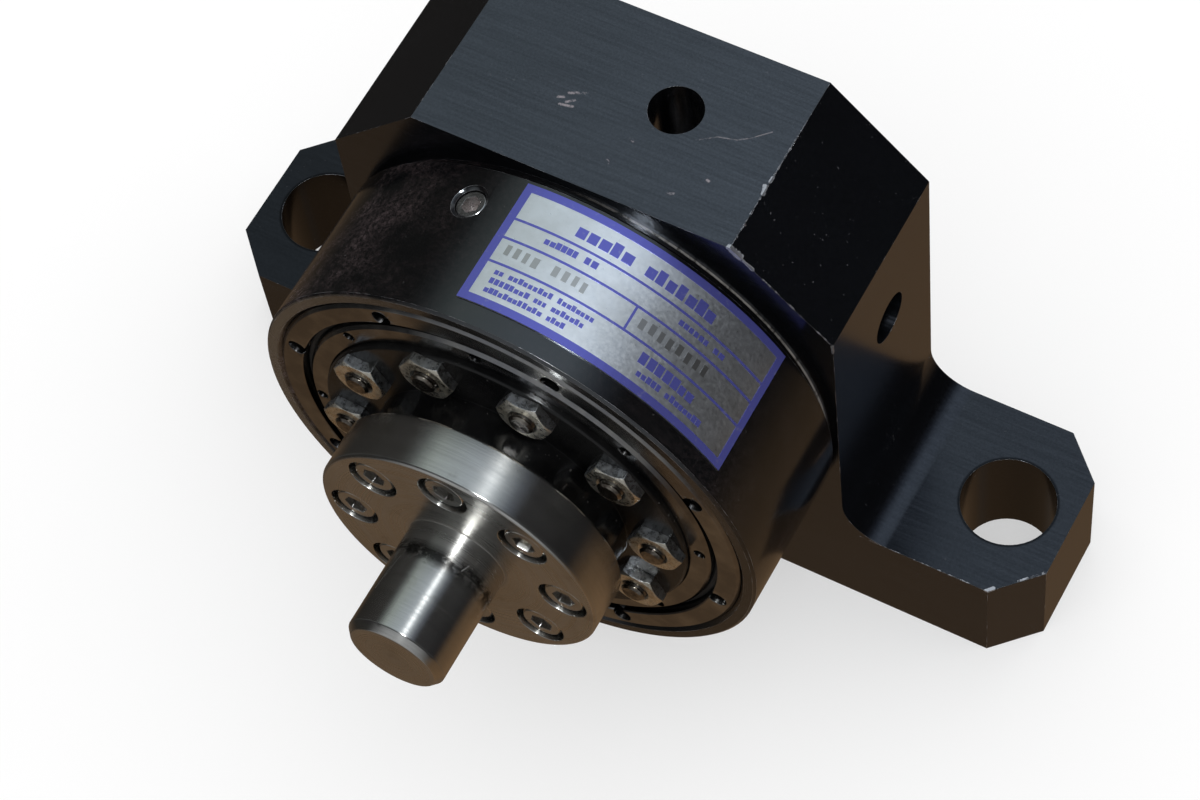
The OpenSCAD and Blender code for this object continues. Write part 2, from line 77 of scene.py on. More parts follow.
foot_bolts = next(m for m in frame["record"]["mounts"] if m["name"] == "foot_bolts")
FOOT_HOLE_X = foot_bolts["dims"]["spacing_x_mm"] / 2 * MM
FOOT_HOLE_Y = foot_bolts["pos_m"][1]
FOOT_HOLE_R = (foot_bolts["dims"]["hole_r_mm"] + 0.3) * MM


def on_cylinder(angle, forward, radius):
    """A point at an angle round the shaft from +X, a distance forward of the block and a radius."""
    a = math.radians(angle)
    return Vector((AXIS_X + radius * math.cos(a), BLOCK_FRONT - forward, AXIS_Z + radius * math.sin(a)))


STUD_COUNT = sum(part["node"].startswith("output_roller_") for part in frame["record"]["subparts"])
roller_lo, roller_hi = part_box("output_roller_1")
roller_x = (roller_lo.x + roller_hi.x) / 2 - AXIS_X
roller_z = (roller_lo.z + roller_hi.z) / 2 - AXIS_Z
STUD_TURN = math.atan2(roller_z, roller_x)
STUD_PITCH_R = math.hypot(roller_x, roller_z)


# ---------- node helpers ----------

class Graph:
    """Short calls for building a material's nodes."""

    def __init__(self, name):
        self.material = bpy.data.materials.new(name)
        self.material.use_nodes = True
        self.tree = self.material.node_tree
        self.tree.nodes.clear()
        self.coords = self.add("ShaderNodeTexCoord").outputs["Object"]

    @classmethod
    def on(cls, tree):
        """A graph on a tree that exists already, with no coordinates of its own."""
        graph = cls.__new__(cls)
        graph.tree = tree
        return graph

    def add(self, kind, **settings):
        node = self.tree.nodes.new(kind)
        for key, value in settings.items():
            setattr(node, key, value)
        return node

    def put(self, value, socket):
        """Wires a socket to another, or sets its value."""
        if isinstance(value, bpy.types.NodeSocket):
            self.tree.links.new(value, socket)
        elif isinstance(value, (tuple, list)) and len(value) == 3 and len(socket.default_value) == 4:
            socket.default_value = (*value, 1.0)
        else:
            socket.default_value = value

    def math(self, operation, a, b=0.0, clamp=False):
        node = self.add("ShaderNodeMath", operation=operation, use_clamp=clamp)
        self.put(a, node.inputs[0])
        self.put(b, node.inputs[1])
        return node.outputs[0]

    def stretched(self, scale):
        """Object coordinates scaled by a different amount on each axis."""
        node = self.add("ShaderNodeMapping")
        self.put(self.coords, node.inputs["Vector"])
        node.inputs["Scale"].default_value = scale
        return node.outputs["Vector"]

    def noise(self, scale, detail=4.0, roughness=0.55, vector=None):
        node = self.add("ShaderNodeTexNoise")
        self.put(self.coords if vector is None else vector, node.inputs["Vector"])
        node.inputs["Scale"].default_value = scale
        node.inputs["Detail"].default_value = detail
        node.inputs["Roughness"].default_value = roughness
        return node.outputs["Fac"]

    def ramp(self, value, low, high, out_low=0.0, out_high=1.0):
        """Maps value from low..high to out_low..out_high, clamped."""
        node = self.add("ShaderNodeMapRange", clamp=True)
        self.put(value, node.inputs["Value"])
        node.inputs["From Min"].default_value = low
        node.inputs["From Max"].default_value = high
        node.inputs["To Min"].default_value = out_low
        node.inputs["To Max"].default_value = out_high
        return node.outputs["Result"]

    def mix(self, fac, a, b):
        node = self.add("ShaderNodeMix", data_type="RGBA")
        self.put(fac, node.inputs[0])
        self.put(a, node.inputs[6])
        self.put(b, node.inputs[7])
        return node.outputs[2]

    def along(self, axis):
        """Distance along X, Y or Z."""
        split = self.add("ShaderNodeSeparateXYZ")
        self.put(self.coords, split.inputs[0])
        return split.outputs[axis]

    def facing(self, axis):
        """How far the surface faces along X, Y or Z."""
        split = self.add("ShaderNodeSeparateXYZ")
        self.put(self.add("ShaderNodeNewGeometry").outputs["True Normal"], split.inputs[0])
        return split.outputs[axis]

    def hypot(self, a, b):
        """The length of the diagonal of a and b."""
        squares = self.math("ADD", self.math("MULTIPLY", a, a), self.math("MULTIPLY", b, b))
        return self.math("SQRT", squares)

    def across_axis(self):
        """The two distances from the shaft axis, along X and along Z."""
        dx = self.math("SUBTRACT", self.along("X"), AXIS_X)
        dz = self.math("SUBTRACT", self.along("Z"), AXIS_Z)
        return dx, dz

    def from_axis(self):
        """Distance from the shaft axis."""
        return self.hypot(*self.across_axis())

    def round_shaft(self, stretch):
        """Coordinates for marks round the shaft: radius, place along it, and a little of the rest."""
        join = self.add("ShaderNodeCombineXYZ")
        self.put(self.from_axis(), join.inputs[0])
        self.put(self.along("Y"), join.inputs[1])
        rest = self.math("ADD", self.along("X"), self.math("MULTIPLY", self.along("Z"), 0.7))
        self.put(self.math("MULTIPLY", rest, stretch), join.inputs[2])
        return join.outputs[0]

    def near(self, point, inner, outer):
        """1 within inner of a point, falling to 0 at outer."""
        away = self.add("ShaderNodeVectorMath", operation="DISTANCE")
        self.put(self.coords, away.inputs[0])
        away.inputs[1].default_value = point
        return self.ramp(away.outputs["Value"], inner, outer, 1.0, 0.0)

    def vector(self, operation, a, b, output="Vector"):
        node = self.add("ShaderNodeVectorMath", operation=operation)
        self.put(a, node.inputs[0])
        if operation == "SCALE":
            self.put(b, node.inputs["Scale"])
        else:
            self.put(b, node.inputs[1])
        return node.outputs[output]

    def stroke(self, start, end, width):
        """A thin straight line between two points: 1 on it, falling to 0 at width."""
        run = end - start
        rel = self.vector("SUBTRACT", self.coords, start)
        ahead = self.vector("DOT_PRODUCT", rel, run, "Value")
        share = self.math("DIVIDE", ahead, run.length_squared, clamp=True)
        on_line = self.vector("SCALE", run, share)
        away = self.vector("DISTANCE", rel, on_line, "Value")
        return self.ramp(away, width * 0.3, width, 1.0, 0.0)

    def strokes(self, lines, width):
        """Several strokes, each a pair of (x, y) in mm from the centre of the hole in the block's top."""
        total = 0.0
        for x0, y0, x1, y1 in lines:
            start = TOP_HOLE + Vector((x0, y0, 0.0)) * MM
            end = TOP_HOLE + Vector((x1, y1, 0.0)) * MM
            total = self.math("MAXIMUM", total, self.stroke(start, end, width))
        return total

    def bump(self, height, distance):
        node = self.add("ShaderNodeBump")
        node.inputs["Strength"].default_value = 1.0
        node.inputs["Distance"].default_value = distance
        self.put(height, node.inputs["Height"])
        return node.outputs["Normal"]

    def finish(self, color, roughness, metallic=0.0, normal=None, ior=1.5, tint=None, turned=0.0):
        """The shader and output. turned stretches highlights across marks that run round the Y axis."""
        shader = self.add("ShaderNodeBsdfPrincipled")
        self.put(color, shader.inputs["Base Color"])
        self.put(roughness, shader.inputs["Roughness"])
        self.put(metallic, shader.inputs["Metallic"])
        shader.inputs["IOR"].default_value = ior
        if turned != 0.0:
            tangent = self.add("ShaderNodeTangent", direction_type="RADIAL", axis="Y")
            self.put(tangent.outputs[0], shader.inputs["Tangent"])
            self.put(turned, shader.inputs["Anisotropic"])
            shader.inputs["Anisotropic Rotation"].default_value = 0.25
        if tint is not None:
            self.put(tint, shader.inputs["Specular Tint"])
        if normal is not None:
            self.put(normal, shader.inputs["Normal"])
        output = self.add("ShaderNodeOutputMaterial")
        self.tree.links.new(shader.outputs[0], output.inputs["Surface"])
        return self.material


# ---------- materials ----------

# Bare chips: two ends in mm from the knocked corner, reach, and how hard the coat is to break there
CHIPS = (
    ((0.0, 0.0, 0.0), (1.5, 0.0, -2.0), 1.5, 0.66), ((1.5, 0.0, -1.5), (4.0, 0.0, -4.0), 0.8, 0.72),
    ((0.0, 0.5, 0.0), (0.0, 26.0, 0.0), 0.5, 1.06), ((0.0, 12.0, 0.0), (-0.5, 13.5, 0.0), 0.9, 0.74),
    ((0.0, 14.5, 0.0), (0.0, 15.5, 0.0), 0.7, 0.80), ((4.0, 0.0, -4.0), (18.5, 0.0, -18.5), 0.5, 1.04),
    ((18.5, 0.0, -18.5), (18.5, 0.0, -20.5), 0.9, 0.80), ((47.5, 0.0, -84.4), (48.5, 1.0, -84.4), 0.8, 0.76),
    ((52.0, 4.5, -84.4), (55.5, 8.0, -84.4), 0.6, 0.92), ((22.0, 0.0, -84.4), (47.0, 0.0, -84.4), 0.4, 1.10))
# Fine nicks along the shaft: degrees round it, and two shares of its length from the flange
SHAFT_NICKS = ((130.0, 0.40, 0.55), (134.0, 0.45, 0.65), (128.0, 0.35, 0.45), (52.0, 0.20, 0.27))


def rub_marks():
    """A patch of short rub marks left of the hole in the block's top, and a few strays, in mm from it."""
    draw = random.Random(7)
    marks = []
    for _ in range(5):
        x, y = draw.uniform(-20.0, -16.0), draw.uniform(-8.0, -4.0)
        marks.append((x, y, x + draw.uniform(1.0, 3.0), y + draw.uniform(0.4, 1.4)))
    for _ in range(5):
        x, y = draw.uniform(-10.0, 22.0), draw.uniform(-16.0, -3.0)
        marks.append((x, y, x + draw.uniform(-1.2, 1.6), y + draw.uniform(-1.0, 0.8)))
    return marks


def thin_scratch():
    """One thin scratch that wanders away to the right of the hole in the block's top, in mm from it."""
    draw = random.Random(12)
    x, y = 6.0, -4.0
    steps = []
    for _ in range(4):
        end_x, end_y = x + draw.uniform(2.0, 4.0), y + draw.uniform(0.5, 3.0)
        steps.append((x, y, end_x, end_y))
        x, y = end_x, end_y
    return steps


def block_material():
    """Black anodised aluminium with fine milling lines along X, specks, rub marks and a knocked corner, and
    painted shade in its reflections: dimmer to the left, on the ears (most on the left one), in the foot
    holes and on the tilted chamfer.
    """
    g = Graph("block_finish")
    lines = g.noise(1900.0, 3.0, 0.6, g.stretched((0.03, 1.0, 1.0)))
    broad = g.noise(26.0, 3.0, 0.5, g.stretched((0.5, 1.0, 1.0)))
    grain = g.noise(620.0, 8.0, 0.85)
    grit = g.noise(2400.0, 2.0, 0.6)
    specks = g.ramp(g.noise(1300.0, 2.0, 0.5), 0.72, 0.77)
    chamfer = g.ramp(g.facing("X"), 0.4, 0.6)
    chips = 0.0
    for start, end, width, bare in CHIPS:
        first = KNOCKED_CORNER + Vector(start) * MM
        last = KNOCKED_CORNER + Vector(end) * MM
        ragged = g.math("ADD", g.stroke(first, last, width * MM), g.ramp(grain, 0.2, 0.8, -0.75, 0.75))
        chips = g.math("MAXIMUM", chips, g.ramp(ragged, bare, bare + 0.12))
    rubs = g.math("MULTIPLY", g.strokes(rub_marks(), 0.34 * MM), g.ramp(g.noise(700.0, 4.0, 0.7), 0.42, 0.56))
    faint = g.ramp(g.noise(300.0, 4.0, 0.7), 0.40, 0.52)
    hair = g.math("MULTIPLY", g.strokes(thin_scratch(), 0.16 * MM), faint)
    marks = g.math("MAXIMUM", g.math("MULTIPLY", rubs, 0.75), g.math("MULTIPLY", hair, 0.42))
    coat = g.mix(g.ramp(broad, 0.35, 0.65), (0.0008, 0.0008, 0.0010), (0.0016, 0.0018, 0.0023))
    coat = g.mix(g.math("MULTIPLY", specks, g.ramp(chamfer, 0.0, 1.0, 0.30, 0.75)), coat, (0.07, 0.07, 0.075))
    coat = g.mix(marks, coat, (0.30, 0.26, 0.27))
    color = g.mix(chips, coat, (0.60, 0.60, 0.64))
    rough = g.math("ADD", g.ramp(lines, 0.3, 0.7, 0.16, 0.24), g.math("MULTIPLY", chips, 0.2))
    level = g.ramp(g.facing("Z"), 0.3, 0.6)
    outboard = g.ramp(g.math("ABSOLUTE", g.along("X")), HALF_BODY + 0.2 * MM, HALF_BODY + 2.0 * MM)
    on_ear = g.math("MULTIPLY", outboard, level)
    # Painted shade: the tint of the reflections dims towards the left, more on the ears and most on the left
    # ear.
    painted_ear_shade = g.ramp(g.along("X"), -HALF_BODY, HALF_BODY, 0.27, 0.56)
    across = g.ramp(g.along("X"), -HALF_BODY, HALF_BODY, 0.84, 1.0)
    off_ear = g.math("SUBTRACT", 1.0, on_ear)
    shade = g.math("ADD", g.math("MULTIPLY", across, off_ear), g.math("MULTIPLY", painted_ear_shade, on_ear))
    # Painted shade inside the foot holes.
    painted_hole_shade = 1.0
    for side in (-1.0, 1.0):
        apart = g.vector("SUBTRACT", g.coords, (side * FOOT_HOLE_X, FOOT_HOLE_Y, 0.0))
        flat = g.vector("MULTIPLY", apart, (1.0, 1.0, 0.0))
        off = g.vector("DISTANCE", flat, (0.0, 0.0, 0.0), "Value")
        painted_hole_shade = g.math("MULTIPLY", painted_hole_shade, g.ramp(off, FOOT_HOLE_R, FOOT_HOLE_R + 0.3 * MM, 0.35, 1.0))
    # Painted shade on the tilted chamfer faces.
    tilted = g.math("MULTIPLY", chamfer, level)
    shade = g.math("MULTIPLY", shade, g.math("MULTIPLY", painted_hole_shade, g.ramp(tilted, 0.0, 1.0, 1.0, 0.55)))
    texture = g.math("MULTIPLY", g.ramp(lines, 0.3, 0.7, 0.86, 1.14), g.ramp(grit, 0.35, 0.65, 0.90, 1.10))
    tint = g.vector("SCALE", (0.74, 0.81, 0.98), g.math("MULTIPLY", shade, texture))
    height = g.math("ADD", g.math("MULTIPLY", lines, 0.5), g.math("MULTIPLY", chips, -1.0))
    return g.finish(color, rough, chips, g.bump(height, 0.010 * MM), ior=2.15, tint=tint)


def worn_edge_material(name, coat, metal, share):
    """The narrow broken edge of a blackened part: bare metal where it has been knocked."""
    g = Graph(name)
    knock = g.ramp(g.noise(210.0, 6.0, 0.75), share, share + 0.06)
    color = g.mix(knock, coat, metal)
    return g.finish(color, g.ramp(g.noise(900.0), 0.3, 0.7, 0.25, 0.4), knock, ior=1.9)


def housing_material():
    """Turned black anodised aluminium: glossy, with fine lines round it, dust and rub marks, and a pale rear
    edge on the upper right that is partly bare metal and partly a painted highlight.
    """
    g = Graph("housing_finish")
    lines = g.noise(3200.0, 3.0, 0.6, g.round_shaft(0.01))
    dust = g.noise(1100.0, 7.0, 0.85)
    patch = g.ramp(g.noise(55.0, 4.0, 0.7), 0.42, 0.62)
    side = g.ramp(g.along("X"), -47.0 * MM, -12.0 * MM, 1.0, 0.10)
    grime = g.math("MULTIPLY", g.math("MULTIPLY", g.ramp(dust, 0.44, 0.66), patch), side, clamp=True)
    specks = g.ramp(g.noise(1500.0, 2.0, 0.5), 0.73, 0.77)
    # A pale broken line on the rear edge, only on the lit upper right: bare metal at the edge, and a painted
    # highlight where the light falls.
    rear = g.ramp(g.along("Y"), BLOCK_FRONT - 0.50 * MM, BLOCK_FRONT - 0.32 * MM)
    upper = g.ramp(g.along("Z"), AXIS_Z, AXIS_Z + 8.0 * MM)
    lit_side = g.math("MULTIPLY", g.ramp(g.along("X"), 0.0, 24.0 * MM), upper)
    broken = g.ramp(g.noise(500.0, 5.0, 0.8), 0.36, 0.52)
    bare = g.math("MULTIPLY", g.math("MULTIPLY", rear, lit_side), broken)
    coat = g.mix(g.math("MULTIPLY", grime, 0.8), (0.0014, 0.0014, 0.0016), (0.130, 0.092, 0.096))
    coat = g.mix(g.math("MULTIPLY", specks, 0.4), coat, (0.10, 0.10, 0.10))
    rim = g.ramp(g.along("Y"), housing_lo.y + 0.10 * MM, housing_lo.y + 0.25 * MM, 1.0, 0.0)
    rim = g.math("MULTIPLY", rim, g.ramp(g.along("X"), -45.0 * MM, -8.0 * MM, 0.8, 0.05))
    coat = g.mix(rim, coat, (0.060, 0.047, 0.034))
    color = g.mix(g.math("MULTIPLY", bare, 0.85), coat, (0.34, 0.32, 0.29))
    matte = g.math("MULTIPLY", g.math("MAXIMUM", grime, bare), 0.3)
    rough = g.math("ADD", g.ramp(lines, 0.3, 0.7, 0.12, 0.18), matte)
    return g.finish(color, rough, 0.0, g.bump(lines, 0.004 * MM), ior=1.9, tint=(0.9, 0.95, 1.0), turned=0.5)


def dark_steel_material(name, base, light, rough, metallic, turned=0.0, ior=1.8, sides=1.0):
    """Black oxide steel, turned, with oily and rubbed patches; sides is painted shade that darkens the hole
    walls and edges.
    """
    g = Graph(name)
    lines = g.noise(2600.0, 4.0, 0.6, g.round_shaft(0.02))
    patch = g.noise(110.0, 6.0, 0.65)
    specks = g.ramp(g.noise(1200.0, 2.0, 0.5), 0.70, 0.76)
    color = g.mix(g.ramp(patch, 0.42, 0.68), base, light)
    color = g.mix(g.math("MULTIPLY", specks, 0.25), color, (0.20, 0.19, 0.18))
    # Painted shade on the faces that do not look along the shaft: hole walls and edges.
    if sides < 1.0:
        color = g.vector("SCALE", color, g.ramp(g.math("ABSOLUTE", g.facing("Y")), 0.3, 0.8, sides, 1.0))
    return g.finish(
        color, g.ramp(patch, 0.3, 0.7, *rough), metallic, g.bump(lines, 0.004 * MM), ior=ior, turned=turned)


def bright_steel_material():
    """Ground steel with fine lines round the shaft, scuffs and a worn ring near the shaft's root."""
    g = Graph("bright_steel")
    grind = g.noise(3800.0, 4.0, 0.65, g.round_shaft(0.012))
    bands = g.noise(700.0, 3.0, 0.6, g.round_shaft(0.03))
    cloud = g.noise(75.0, 5.0, 0.6)
    stain = g.ramp(g.noise(150.0, 6.0, 0.7), 0.58, 0.72)
    on_shaft = g.ramp(g.from_axis(), SHAFT_R + 0.3 * MM, SHAFT_R + 0.8 * MM, 1.0, 0.0)
    scuff_y = flange_front_y - 0.27 * SHAFT_LENGTH
    off_scuff = g.math("ABSOLUTE", g.math("SUBTRACT", g.along("Y"), scuff_y))
    broken = g.ramp(g.noise(230.0, 6.0, 0.8), 0.43, 0.53)
    smudge = g.math("MULTIPLY", g.ramp(off_scuff, 0.6 * MM, 2.4 * MM, 1.0, 0.0), broken)
    groove = g.math("MULTIPLY", g.ramp(off_scuff, 0.10 * MM, 0.30 * MM, 1.0, 0.0), 0.8)
    scuff = g.math("MULTIPLY", g.math("MAXIMUM", smudge, groove), on_shaft)
    dull = g.math("MULTIPLY", g.ramp(g.along("Y"), scuff_y - 0.3 * MM, scuff_y + 0.6 * MM), on_shaft)
    color = g.mix(g.ramp(cloud, 0.35, 0.7), (0.64, 0.63, 0.61), (0.55, 0.54, 0.51))
    color = g.mix(g.ramp(grind, 0.42, 0.62, 0.0, 0.16), color, (0.36, 0.36, 0.35))
    color = g.mix(g.math("MULTIPLY", stain, 0.3), color, (0.20, 0.16, 0.12))
    color = g.mix(g.math("MULTIPLY", dull, 0.35), color, (0.30, 0.28, 0.25))
    color = g.mix(g.math("MULTIPLY", scuff, 0.9), color, (0.015, 0.013, 0.012))
    flat_face = g.ramp(g.math("ABSOLUTE", g.facing("Y")), 0.7, 0.95, 0.0, 0.08)
    rough = g.math("ADD", g.ramp(grind, 0.3, 0.7, 0.16, 0.22), g.math("MULTIPLY", dull, 0.08))
    rough = g.math("ADD", rough, flat_face)
    rough = g.math("ADD", rough, g.math("MULTIPLY", g.ramp(bands, 0.4, 0.7), 0.05))
    nick = 0.0
    root = BLOCK_FRONT - flange_front_y
    for angle, first, last in SHAFT_NICKS:
        nick_start = on_cylinder(angle, root + first * SHAFT_LENGTH, SHAFT_R)
        nick_end = on_cylinder(angle + 4.0, root + last * SHAFT_LENGTH, SHAFT_R)
        nick = g.math("MAXIMUM", nick, g.stroke(nick_start, nick_end, 0.10 * MM))
    color = g.mix(g.math("MULTIPLY", nick, 0.8), color, (0.95, 0.95, 0.95))
    rough = g.math("ADD", rough, g.math("MULTIPLY", nick, 0.35))
    turned = g.ramp(flat_face, 0.0, 0.05, 0.85, 0.0)
    return g.finish(color, rough, 1.0, g.bump(grind, 0.0025 * MM), turned=turned)


def zinc_material():
    """Dull zinc plate: grey-blue and mottled on the flats, tan on the faces that look along the shaft."""
    g = Graph("zinc_steel")
    patch = g.noise(900.0, 6.0, 0.7)
    film = g.ramp(g.noise(160.0, 5.0, 0.6), 0.42, 0.62)
    dirt = g.ramp(g.noise(800.0, 6.0, 0.8), 0.50, 0.64)
    faces_front = g.ramp(g.math("ABSOLUTE", g.facing("Y")), 0.6, 0.9)
    tone = g.mix(film, (0.52, 0.54, 0.57), (0.32, 0.32, 0.31))
    tan = g.mix(film, (0.95, 0.91, 0.80), (0.76, 0.70, 0.58))
    color = g.mix(faces_front, tone, tan)
    color = g.mix(g.math("MULTIPLY", dirt, 0.5), color, (0.10, 0.085, 0.07))
    return g.finish(color, g.ramp(patch, 0.3, 0.7, 0.18, 0.42), 1.0, g.bump(patch, 0.04 * MM))


def plug_material():
    """Zinc plug with a pale, dusty socket."""
    g = Graph("plug_steel")
    plug_lo, plug_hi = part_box("fill_plug")
    socket_share = g.near((plug_lo + plug_hi) / 2 + Vector((0.0, 0.0, 0.6)) * MM, 1.6 * MM, 2.6 * MM)
    grain = g.noise(900.0, 5.0, 0.7)
    color = g.mix(grain, (0.62, 0.62, 0.63), (0.34, 0.33, 0.32))
    pale = g.mix(grain, (0.55, 0.50, 0.49), (0.34, 0.30, 0.29))
    color = g.mix(socket_share, color, pale)
    metal = g.ramp(socket_share, 0.0, 1.0, 1.0, 0.35)
    return g.finish(color, g.ramp(grain, 0.3, 0.7, 0.16, 0.34), metal, g.bump(grain, 0.01 * MM))


def stud_material():
    """Oily stud ends with fine turned rings round each stud's own axis."""
    g = Graph("stud_steel")
    dx, dz = g.across_axis()
    radius = g.hypot(dx, dz)
    turn = g.math("SUBTRACT", g.math("ARCTAN2", dz, dx), STUD_TURN)
    fold = g.math("PINGPONG", turn, math.pi / STUD_COUNT)
    along = g.math("SUBTRACT", g.math("MULTIPLY", radius, g.math("COSINE", fold)), STUD_PITCH_R)
    across = g.math("MULTIPLY", radius, g.math("SINE", fold))
    ring_pitch = 0.55 * MM
    rings = g.math("SINE", g.math("MULTIPLY", g.hypot(along, across), 2.0 * math.pi / ring_pitch))
    oil = g.noise(500.0, 5.0, 0.7)
    color = g.mix(g.ramp(oil, 0.40, 0.60), (0.34, 0.31, 0.27), (0.08, 0.065, 0.055))
    return g.finish(color, g.ramp(oil, 0.3, 0.7, 0.16, 0.30), 1.0, g.bump(rings, 0.014 * MM))


def rubber_material():
    """Black nitrile rubber."""
    g = Graph("seal_rubber")
    grain = g.noise(1400.0, 3.0, 0.6)
    color = g.mix(grain, (0.006, 0.006, 0.006), (0.016, 0.015, 0.014))
    return g.finish(color, g.ramp(grain, 0.3, 0.7, 0.5, 0.7), 0.0, g.bump(grain, 0.01 * MM))


def polished_material(name, base, rough):
    """Polished or machined metal for the rolling parts."""
    g = Graph(name)
    grain = g.noise(1700.0, 4.0, 0.6)
    cloud = g.noise(90.0, 3.0, 0.5)
    color = g.mix(cloud, base, tuple(c * 0.8 for c in base))
    return g.finish(color, g.ramp(grain, 0.3, 0.7, *rough), 1.0, g.bump(grain, 0.003 * MM))


def plate_metal_material():
    """Silver foil plate, slightly mottled."""
    g = Graph("plate_metal")
    grain = g.noise(1500.0, 5.0, 0.7)
    cloud = g.noise(95.0, 5.0, 0.65)
    color = g.mix(g.ramp(cloud, 0.38, 0.66), (0.92, 0.95, 1.0), (0.76, 0.78, 0.80))
    return g.finish(color, g.ramp(grain, 0.3, 0.7, 0.27, 0.40), 1.0, g.bump(grain, 0.007 * MM))


def print_material(name, base, metallic=0.75):
    """Ink on the nameplate, thin and a little worn."""
    g = Graph(name)
    worn = g.ramp(g.noise(700.0, 5.0, 0.7), 0.60, 0.70)
    color = g.mix(g.math("MULTIPLY", worn, 0.4), base, (0.50, 0.50, 0.56))
    return g.finish(color, 0.30, metallic)


MATERIALS = {
    "block_finish": block_material(),
    "housing_finish": housing_material(),
    "ring_finish": dark_steel_material(
        "ring_finish", (0.24, 0.24, 0.25), (0.42, 0.41, 0.39), (0.14, 0.26), 1.0, sides=0.3),
    "plate_finish": dark_steel_material(
        "plate_finish", (0.0020, 0.0020, 0.0022), (0.006, 0.006, 0.006), (0.12, 0.28), 0.0,
        turned=0.5, ior=1.4),
    "bright_steel": bright_steel_material(),
    "zinc_steel": zinc_material(),
    "dark_screw": dark_steel_material(
        "dark_screw", (0.15, 0.14, 0.13), (0.26, 0.24, 0.21), (0.25, 0.40), 0.9),
    "plate_metal": plate_metal_material(),
    "seal_rubber": rubber_material(),
    "bearing_steel": polished_material("bearing_steel", (0.66, 0.66, 0.67), (0.10, 0.20)),
    "cage_brass": polished_material("cage_brass", (0.72, 0.52, 0.24), (0.22, 0.34)),
    "cam_steel": polished_material("cam_steel", (0.50, 0.49, 0.48), (0.22, 0.36)),
}
for part in frame["record"]["subparts"]:
    mesh = nodes[part["node"]].data
    mesh.materials.clear()
    mesh.materials.append(MATERIALS[part["material_slot"]])
nodes["follower_studs"].data.materials[0] = stud_material()
nodes["fill_plug"].data.materials[0] = plug_material()


# ---------- soft edges on the outer parts ----------

def soften(name, width, worn=None, flatten=True):
    """Breaks a CAD node's sharp edges and smooths its shading; worn is the broken edge's own material."""
    piece = nodes[name]
    mesh = piece.data
    mesh.attributes.remove(mesh.attributes["custom_normal"])
    mesh.polygons.foreach_set("use_smooth", [True] * len(mesh.polygons))
    weld = piece.modifiers.new("weld", "WELD")
    weld.merge_threshold = 0.001 * MM
    if flatten:
        flat = piece.modifiers.new("flat_faces", "DECIMATE")
        flat.decimate_type = "DISSOLVE"
        flat.angle_limit = math.radians(0.3)
    bevel = piece.modifiers.new("edge_break", "BEVEL")
    bevel.width = width
    bevel.segments = 2
    bevel.limit_method = "ANGLE"
    bevel.angle_limit = math.radians(28.0)
    if worn is not None:
        mesh.materials.append(worn)
        bevel.material = 1
    shade = piece.modifiers.new("shading", "WEIGHTED_NORMAL")
    shade.weight = 100


black_edge = worn_edge_material("block_edge", (0.0025, 0.0027, 0.0032), (0.50, 0.50, 0.54), 0.54)
housing_edge = worn_edge_material("housing_edge", (0.006, 0.006, 0.007), (0.40, 0.40, 0.42), 0.50)
soften("foot_block", 0.22 * MM, black_edge)
soften("housing", 0.15 * MM, housing_edge)
soften("output_shaft", 0.2 * MM)
for ring_name in ("outer_retaining_ring", "inner_retaining_ring"):
    soften(ring_name, 0.10 * MM, flatten=False)
for inner_name in ("output_plate", "follower_nuts", "flange_screws"):
    soften(inner_name, 0.12 * MM)
for small_name in ("follower_studs", "fill_plug"):
    soften(small_name, 0.06 * MM)


# ---------- nameplate print: plain blocks in place of its lettering ----------

PRINT_BLUE = print_material("print_blue", (0.14, 0.15, 0.56))
PRINT_DARK = print_material("print_dark", (0.50, 0.50, 0.50), 1.0)
plate_r = max(
    math.hypot(v.co.x - AXIS_X, v.co.z - AXIS_Z) for v in nodes["nameplate"].data.vertices)
angles = [
    math.degrees(math.atan2(v.co.z - AXIS_Z, v.co.x - AXIS_X)) for v in nodes["nameplate"].data.vertices]
PLATE_LEFT = max(angles)
PLATE_RIGHT = min(angles)
PLATE_BACK = BLOCK_FRONT - plate_hi.y
PLATE_FRONT = BLOCK_FRONT - plate_lo.y
INK = 0.04 * MM
DEG_PER_M = 180.0 / (math.pi * plate_r)


def add_tile(bm, a0, a1, u0, u1):
    """Adds a thin closed tile on the plate, between two angles and two distances forward."""
    steps = max(1, round(abs(a1 - a0) / 2.0))
    low = plate_r + 0.004 * MM
    rows = []
    for i in range(steps + 1):
        a = a0 + (a1 - a0) * i / steps
        corners = ((u0, low), (u1, low), (u1, low + INK), (u0, low + INK))
        rows.append([bm.verts.new(on_cylinder(a, u, r)) for u, r in corners])
    for i in range(steps):
        for k in range(4):
            bm.faces.new((rows[i][k], rows[i][(k + 1) % 4], rows[i + 1][(k + 1) % 4], rows[i + 1][k]))
    bm.faces.new(rows[0][::-1])
    bm.faces.new(rows[-1])


def printed(name, material, tiles):
    """One printed piece made of many tiles."""
    bm = bmesh.new()
    for tile in tiles:
        add_tile(bm, *tile)
    bmesh.ops.recalc_face_normals(bm, faces=bm.faces)
    mesh = bpy.data.meshes.new(name)
    bm.to_mesh(mesh)
    bm.free()
    mesh.materials.append(material)
    piece = bpy.data.objects.new(name, mesh)
    bpy.context.scene.collection.objects.link(piece)
    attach(piece, "frame_body")


block_shapes = random.Random(11)


def words(a0, u0, height, lengths, gap):
    """A line of words, each a row of plain letter-sized blocks, starting at angle a0 and running right."""
    tiles = []
    a = a0
    for length in lengths:
        count = max(2, round(length / (0.84 * height)))
        pitch = length / count
        for i in range(count):
            left = a - i * pitch * DEG_PER_M
            wide = pitch * block_shapes.choice((0.76, 0.82, 0.88))
            top = block_shapes.choice((0.0, 0.24, 0.24))
            tiles.append((left, left - wide * DEG_PER_M, u0 + top * height, u0 + height))
        a -= (length + gap) * DEG_PER_M
    return tiles


